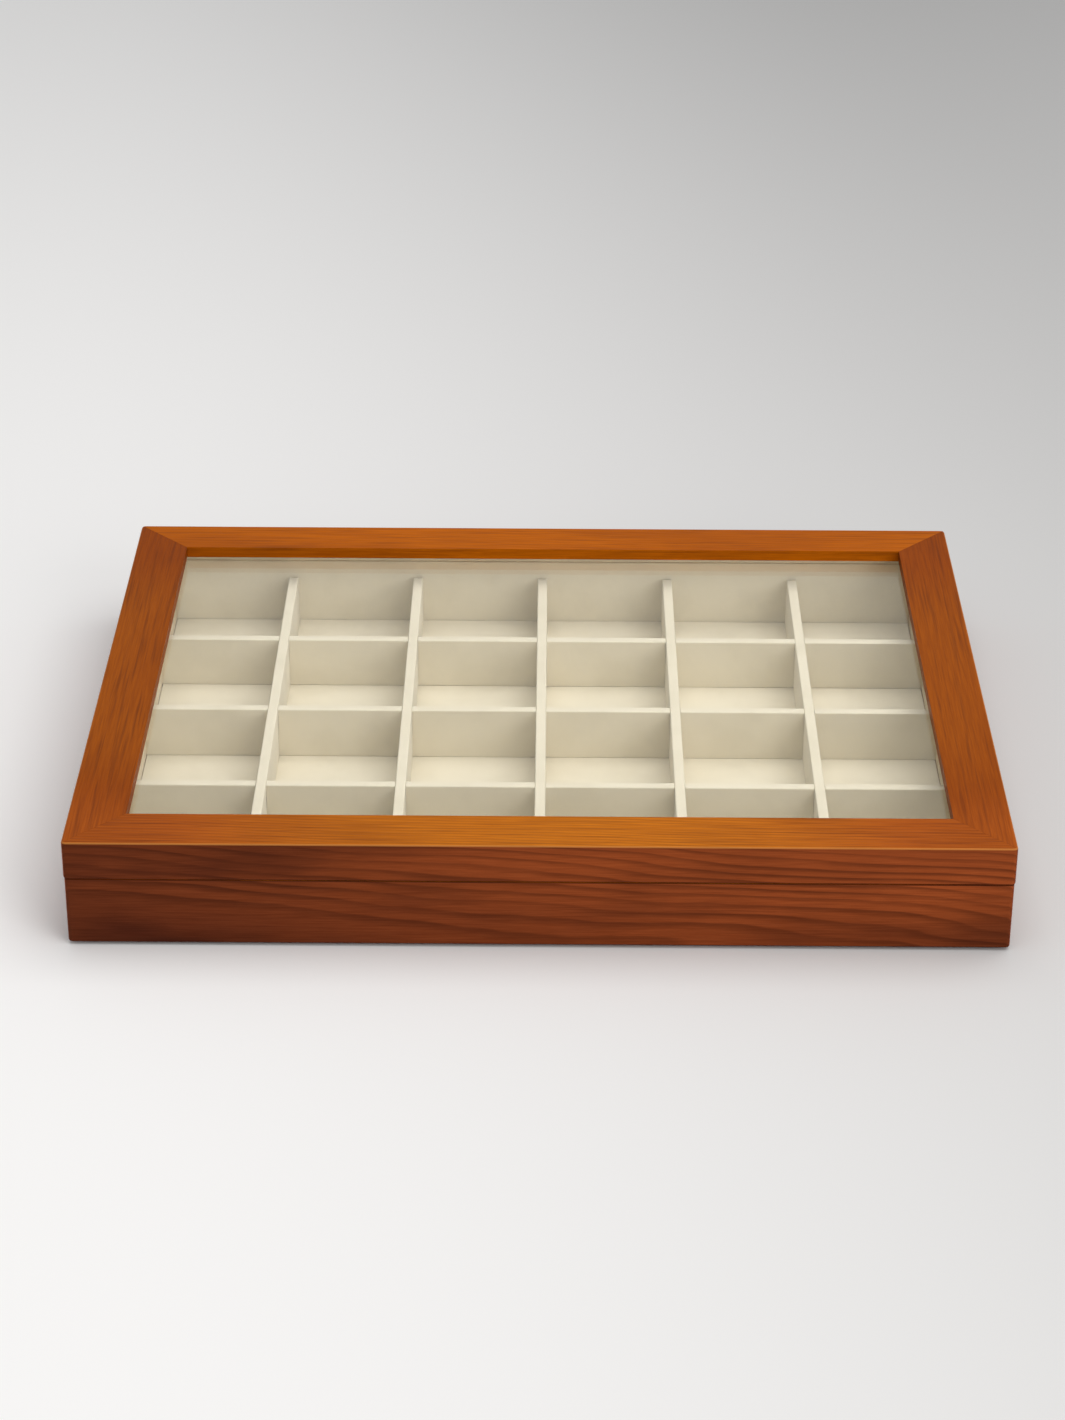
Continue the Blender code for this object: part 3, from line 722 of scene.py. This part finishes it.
def screw_tree():
    """A slotted countersunk screw at each point, head up, with its slot at its own angle."""
    slot_depth, shank_share, overlap, slot_seed, most_turn = 0.00045, 0.98, 0.0001, 7, 1.4
    shape = Shape(
        "slotted_screws", Geometry="g", Head="f", Shank="f", Length="f", Slot="f", Sides="i", Flip="f",
        Finish="m",
    )
    head, shank, sides = shape.input("Head"), shape.input("Shank"), shape.input("Sides")
    taper = head - shank
    cone = shape.node(
        "GeometryNodeMeshCone",
        values={"Vertices": sides, "Radius Top": head, "Radius Bottom": shank, "Depth": taper},
    )
    cone = shape.moved(cone, shape.vector(z=taper * -1))
    rest = shape.input("Length") - taper
    values = {"Vertices": sides, "Radius": shank * shank_share, "Depth": rest}
    rod = shape.node("GeometryNodeMeshCylinder", values=values)
    rod = shape.moved(rod, shape.vector(z=taper * -1 - rest * 0.5 + overlap))
    body = shape.solid("UNION", Mesh_2=[cone, rod])
    size = shape.vector(head * 3, shape.input("Slot"), slot_depth * 2)
    slot = shape.node("GeometryNodeMeshCube", values={"Size": size})
    body = shape.solid("DIFFERENCE", Mesh_1=body, Mesh_2=slot)
    values = {"Min": -most_turn, "Max": most_turn, "Seed": slot_seed}
    angles = shape.node("FunctionNodeRandomValue", {"data_type": "FLOAT"}, values, output=1)
    turn = shape.vector(x=shape.input("Flip") * math.pi, z=angles)
    placed = shape.node(
        "GeometryNodeInstanceOnPoints",
        values={"Points": shape.input("Geometry"), "Instance": body, "Rotation": turn},
    )
    return shape.finish(placed)


# ---------------------------------------------------------------- operators


def finish_rail(node, outer, material):
    """A rail from its CAD shape, with its mitres closed to a hairline and its edges shaded round."""
    side = node.split("_")[1]
    across = side in ("left", "right")
    along, inward = (1, 0) if across else (0, 1)
    low, high = outer
    mitre_gap, hairline, tolerance = 0.000212, 0.00004, 0.00004
    mesh = merged_copy(node, f"{node}_finished")
    for vertex in mesh.vertices:
        near_low = side in ("left", "front")
        depth = vertex.co[inward] - low[inward] if near_low else high[inward] - vertex.co[inward]
        middle = (low[along] + high[along]) / 2
        reach = abs(vertex.co[along] - middle)
        short = (high[along] - low[along]) / 2 - depth - reach
        if abs(short - mitre_gap) < tolerance:
            vertex.co[along] += math.copysign(mitre_gap - hairline, vertex.co[along] - middle)
    obj = softened(link_mesh(f"{node}_finished", mesh, material))
    return keep(obj, body_of(node), slot_of(node), node)


class CASE_OT_wood(bpy.types.Operator):
    """Stain and lacquer the rails of the base and of the lid"""

    bl_idname = "coin_case.wood"
    bl_label = "Wooden rails"

    def execute(self, context):
        wood = context.scene.coin_case_wood
        quarter = math.pi / 2
        low, high = joined_box(*(f"lid_{side}_rail" for side in SIDES))
        wide, deep = (high.x - low.x) / 2, (high.y - low.y) / 2
        logs = {
            # The front rail carries the strongest painted amber highlight on its top, and painted shade
            # towards its left end.
            "front": dict(
                turn=0.0, half=wide, board=(0.0, 0.151, 0.0), inward=(1, 1), top=wood.end_colour,
                amber_highlight=0.95, low_end_shade=0.58,
            ),
            "back": dict(
                turn=0.0, half=wide, board=(0.7, -0.11, 0.02), inward=(1, -1), top=wood.top_colour,
                figure=0.15,
            ),
            "left": dict(
                turn=-quarter, half=deep, board=(1.3, -0.14, 0.01), inward=(0, 1), top=wood.cross_colour,
                amber_highlight=0.25, figure=0.3,
            ),
            "right": dict(
                turn=-quarter, half=deep, board=(2.1, 0.24, -0.01), inward=(0, -1), top=wood.cross_colour,
                amber_highlight=0.20, figure=0.3,
            ),
        }
        for prefix in ("base", "lid"):
            outer = joined_box(*(f"{prefix}_{side}_rail" for side in SIDES))
            for side in SIDES:
                material = bpy.data.materials.get(f"stained_wood_{side}")
                material = material or stained_wood(f"stained_wood_{side}", wood, **logs[side])
                finish_rail(f"{prefix}_{side}_rail", outer, material)
        return {"FINISHED"}


class CASE_OT_lining(bpy.types.Operator):
    """Cover the liners, beads and floor pad with cream cloth, and lay the felt"""

    bl_idname = "coin_case.lining"
    bl_label = "Lining"

    def execute(self, context):
        lining = context.scene.coin_case_lining
        cloth = lining_cloth("lining_cloth", lining)
        for side in SIDES:
            # The cloth spans the grooves that hold the dividers' ends.
            liner, bead = f"liner_{side}", f"glazing_bead_{side}"
            board = link_mesh(f"{liner}_covered", block(f"{liner}_covered", *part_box(liner)), cloth)
            strip = link_mesh(f"{bead}_covered", merged_copy(bead, f"{bead}_covered"), cloth)
            keep(softened(board, lining.edge_radius), "base", "velvet", liner)
            keep(softened(strip, lining.edge_radius), "lid", "velvet", bead)
        self.floor_pad(cloth, lining)
        self.felt()
        return {"FINISHED"}

    def floor_pad(self, cloth, lining):
        """One padded sheet, drawn down a little under each divider and at the walls."""
        low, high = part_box("floor_pad")
        columns, rows = len(COLUMN_NODES) + 1, len(ROW_NODES) + 1
        steps, flatness = 14, 6
        mesh = block("floor_pad_covered", low, high)
        shape = bmesh.new()
        shape.from_mesh(mesh)
        for axis, count in ((0, columns * steps), (1, rows * steps)):
            span = high[axis] - low[axis]
            for number in range(1, count):
                normal = Vector((1, 0, 0)) if axis == 0 else Vector((0, 1, 0))
                point = low + normal * (span * number / count)
                whole = shape.verts[:] + shape.edges[:] + shape.faces[:]
                bmesh.ops.bisect_plane(shape, geom=whole, plane_co=point, plane_no=normal)
        for vertex in shape.verts:
            if vertex.co.z > (low.z + high.z) / 2:
                u = (vertex.co.x - low.x) / (high.x - low.x) * columns
                v = (vertex.co.y - low.y) / (high.y - low.y) * rows
                edge_u, edge_v = abs(2 * (u % 1) - 1), abs(2 * (v % 1) - 1)
                crown = (1 - edge_u ** flatness) * (1 - edge_v ** flatness)
                vertex.co.z -= lining.pillow * (1 - crown)
        shape.to_mesh(mesh)
        shape.free()
        mesh.shade_smooth()
        mesh.set_sharp_from_angle(angle=math.radians(50))
        pad = keep(link_mesh("floor_pad_covered", mesh, cloth), "base", "velvet", "floor_pad")

    def felt(self):
        low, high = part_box("felt_sheet")
        sheet = link_mesh("felt_laid", merged_copy("felt_sheet", "felt_laid"), wool_felt("wool_felt"))
        softened(sheet, (high.z - low.z) / 4, steps=2)
        keep(sheet, "base", "felt", "felt_sheet")


class CASE_OT_dividers(bpy.types.Operator):
    """Make the row and column dividers, lapped where they cross"""

    bl_idname = "coin_case.dividers"
    bl_label = "Dividers"

    def execute(self, context):
        lining = context.scene.coin_case_lining
        tree = divider_tree()
        row_places = [sum(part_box(node)[end].y for end in (0, 1)) / 2 for node in ROW_NODES]
        column_places = [sum(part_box(node)[end].x for end in (0, 1)) / 2 for node in COLUMN_NODES]
        along_x, along_y, above, below = 0.0, math.pi / 2, 1, -1
        self.make(tree, lining, "row_dividers", ROW_NODES, row_places, column_places, along_x, above)
        self.make(tree, lining, "column_dividers", COLUMN_NODES, column_places, row_places, along_y, below)
        return {"FINISHED"}

    def make(self, tree, lining, name, nodes, places, crossings, turn, slot_end):
        low, high = joined_box(*nodes)
        # The dividers press a little into the floor pad.
        low.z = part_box("floor_pad")[1].z - lining.pillow
        along, across = (1, 0) if turn else (0, 1)
        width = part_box(nodes[0])[1][across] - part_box(nodes[0])[0][across]
        # They stop short of the bottoms of the grooves, just inside the cloth of the walls.
        groove, fit = 0.0005, 0.00012
        height = high.z - low.z
        obj = grown(tree, name, {
            "Length": high[along] - low[along] - 2 * groove,
            "Thickness": width,
            "Height": height,
            "Edge": lining.divider_edge,
            "Corner": lining.corner_radius,
            "Count": len(places),
            "Pitch": (max(places) - min(places)) / (len(places) - 1),
            "Slots": len(crossings),
            "Slot Pitch": (max(crossings) - min(crossings)) / (len(crossings) - 1),
            "Slot Width": width + 2 * fit,
            "Slot Level": slot_end * height / 2,
            "Finish": bpy.data.materials["lining_cloth"],
        })
        middle = (low + high) / 2
        obj.data.transform(Matrix.Translation(middle) @ Matrix.Rotation(turn, 4, "Z"))
        softened(obj, lining.divider_edge * 0.4, steps=2)
        keep(obj, "base", "velvet", *nodes)


class CASE_OT_glazing(bpy.types.Operator):
    """Give the pane its glass"""

    bl_idname = "coin_case.glazing"
    bl_label = "Glass"

    def execute(self, context):
        pane = frame["nodes"]["glass_pane"]
        pane.data.materials.clear()
        pane.data.materials.append(clear_glass("float_glass"))
        return {"FINISHED"}


class CASE_OT_hardware(bpy.types.Operator):
    """Finish the hinges and screws, and the board and keys that stay out of sight"""

    bl_idname = "coin_case.hardware"
    bl_label = "Hardware"

    def execute(self, context):
        hardware = context.scene.coin_case_hardware
        brass = polished_brass("polished_brass", hardware)
        for hinge in HINGES:
            for node in (f"{hinge}_base_leaf", f"{hinge}_lid_leaf", f"{hinge}_pin"):
                piece = link_mesh(f"{node}_polished", merged_copy(node, f"{node}_polished"), brass)
                keep(softened(piece, limit=30), body_of(node), slot_of(node), node)
        tree = screw_tree()
        for body, flip in (("base", 0.0), ("lid", 1.0)):
            self.screws(tree, hardware, brass, body, flip)
        plies = bare_wood("plywood", (0.42, 0.27, 0.14), (0.30, 0.17, 0.08))
        keys = bare_wood("key_wood", (0.62, 0.42, 0.22), (0.48, 0.30, 0.14))
        for node, obj in frame["nodes"].items():
            if "_key_" in node or node == "bottom_panel":
                obj.data.materials.clear()
                obj.data.materials.append(plies if node == "bottom_panel" else keys)
        return {"FINISHED"}

    def screws(self, tree, hardware, brass, body, flip):
        nodes = sorted(n for n in frame["nodes"] if f"_{body}_screw_" in n)
        points = []
        for node in nodes:
            low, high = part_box(node)
            middle = (low + high) / 2
            points.append((middle.x, middle.y, low.z if flip else high.z))
        low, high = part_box(nodes[0])
        head = (high.x - low.x) / 2
        obj = grown(tree, f"{body}_hinge_screws", {
            "Head": head,
            "Shank": head * 0.43,
            "Length": high.z - low.z,
            "Slot": hardware.slot_width,
            "Sides": hardware.screw_sides,
            "Flip": flip,
            "Finish": brass,
        }, points)
        softened(obj, limit=30)
        keep(obj, body, "brass", *nodes)


class CASE_OT_stage(bpy.types.Operator):
    """Set the floor, the lights and the camera"""

    bl_idname = "coin_case.stage"
    bl_label = "Stage"

    def execute(self, context):
        stage = context.scene.coin_case_stage
        self.floor(stage)
        warm = (1.0, 0.98, 0.96)
        self.lamp("key_light", stage.key_power, stage.key_place, stage.key_size, warm)
        fill = self.lamp("fill_light", stage.fill_power, stage.fill_place, stage.fill_size, warm)
        # Its image in the pane's lower face would show as a hard-edged patch from behind.
        fill.visible_transmission = False
        self.sky(context.scene, stage)
        self.camera(context.scene, stage)
        context.scene.view_settings.view_transform = "Standard"
        return {"FINISHED"}

    def floor(self, stage):
        half_side, tilt, near, away_from = 6, 0.12, -0.35, 0.45
        shape = bmesh.new()
        bmesh.ops.create_grid(shape, x_segments=1, y_segments=1, size=half_side)
        mesh = bpy.data.meshes.new("studio_floor")
        shape.to_mesh(mesh)
        shape.free()
        finish = Finish("studio_floor")
        # The floor's colour is painted light falloff: pale at the near left, greyer towards the far right.
        right, away, _ = finish.parts_of(finish.place)
        far = (right + away * tilt).smooth(near, away_from)
        tone = finish.mix(far, colour(stage.floor_colour), colour(stage.falloff_shade_colour))
        finish.set(Base_Color=tone, Roughness=0.9, Specular_IOR_Level=0.1)
        link_mesh("studio_floor", mesh, finish.material)

    def lamp(self, name, power, place, size, tint):
        light = bpy.data.lights.new(name, "AREA")
        light.energy = power
        light.size = size
        light.color = tint
        obj = bpy.data.objects.new(name, light)
        obj.visible_glossy = False
        obj.location = place
        obj.rotation_euler = (-Vector(place)).to_track_quat("-Z", "Y").to_euler()
        bpy.context.scene.collection.objects.link(obj)
        return obj

    def sky(self, scene, stage):
        world = bpy.data.worlds.new("studio_sky")
        world.use_nodes = True
        background = world.node_tree.nodes["Background"]
        background.inputs["Color"].default_value = (1.0, 1.0, 1.0, 1)
        background.inputs["Strength"].default_value = stage.sky_strength
        scene.world = world

    def camera(self, scene, stage):
        dip, turn, roll = stage.camera_dip, stage.camera_turn, stage.camera_roll
        ahead = Vector((-math.sin(turn) * math.cos(dip), math.cos(turn) * math.cos(dip), -math.sin(dip)))
        right = Vector((math.cos(turn), math.sin(turn), 0))
        up = right.cross(ahead)
        level = Matrix((right, up, -ahead)).transposed()
        data = bpy.data.cameras.new("camera")
        data.lens = stage.lens
        data.clip_end = 20
        camera = bpy.data.objects.new("camera", data)
        leaning = (level @ Matrix.Rotation(roll, 3, "Z")).to_4x4()
        camera.matrix_world = Matrix.Translation(stage.camera_place) @ leaning
        scene.collection.objects.link(camera)
        scene.camera = camera


class CASE_PT_panel(bpy.types.Panel):
    """Lists the case's settings and the steps that make it"""

    bl_idname = "CASE_PT_panel"
    bl_label = "Coin display case"
    bl_space_type = "VIEW_3D"
    bl_region_type = "UI"
    bl_category = "Coin Case"

    def draw(self, context):
        for name, kind in GROUPS.items():
            box = self.layout.box()
            for setting in kind.__annotations__:
                box.prop(getattr(context.scene, name), setting)
        for step in STEPS:
            self.layout.operator(step.bl_idname)


GROUPS = {
    "coin_case_wood": WoodSettings,
    "coin_case_lining": LiningSettings,
    "coin_case_hardware": HardwareSettings,
    "coin_case_stage": StageSettings,
}
STEPS = (CASE_OT_wood, CASE_OT_lining, CASE_OT_dividers, CASE_OT_glazing, CASE_OT_hardware, CASE_OT_stage)


def register():
    for kind in (*GROUPS.values(), *STEPS, CASE_PT_panel):
        bpy.utils.register_class(kind)
    for name, kind in GROUPS.items():
        setattr(bpy.types.Scene, name, PointerProperty(type=kind))


def unregister():
    for name in GROUPS:
        delattr(bpy.types.Scene, name)
    for kind in (CASE_PT_panel, *reversed(STEPS), *GROUPS.values()):
        bpy.utils.unregister_class(kind)


def main():
    register()
    for step in STEPS:
        group, name = step.bl_idname.split(".")
        getattr(getattr(bpy.ops, group), name)()


if __name__ == "__main__":
    main()
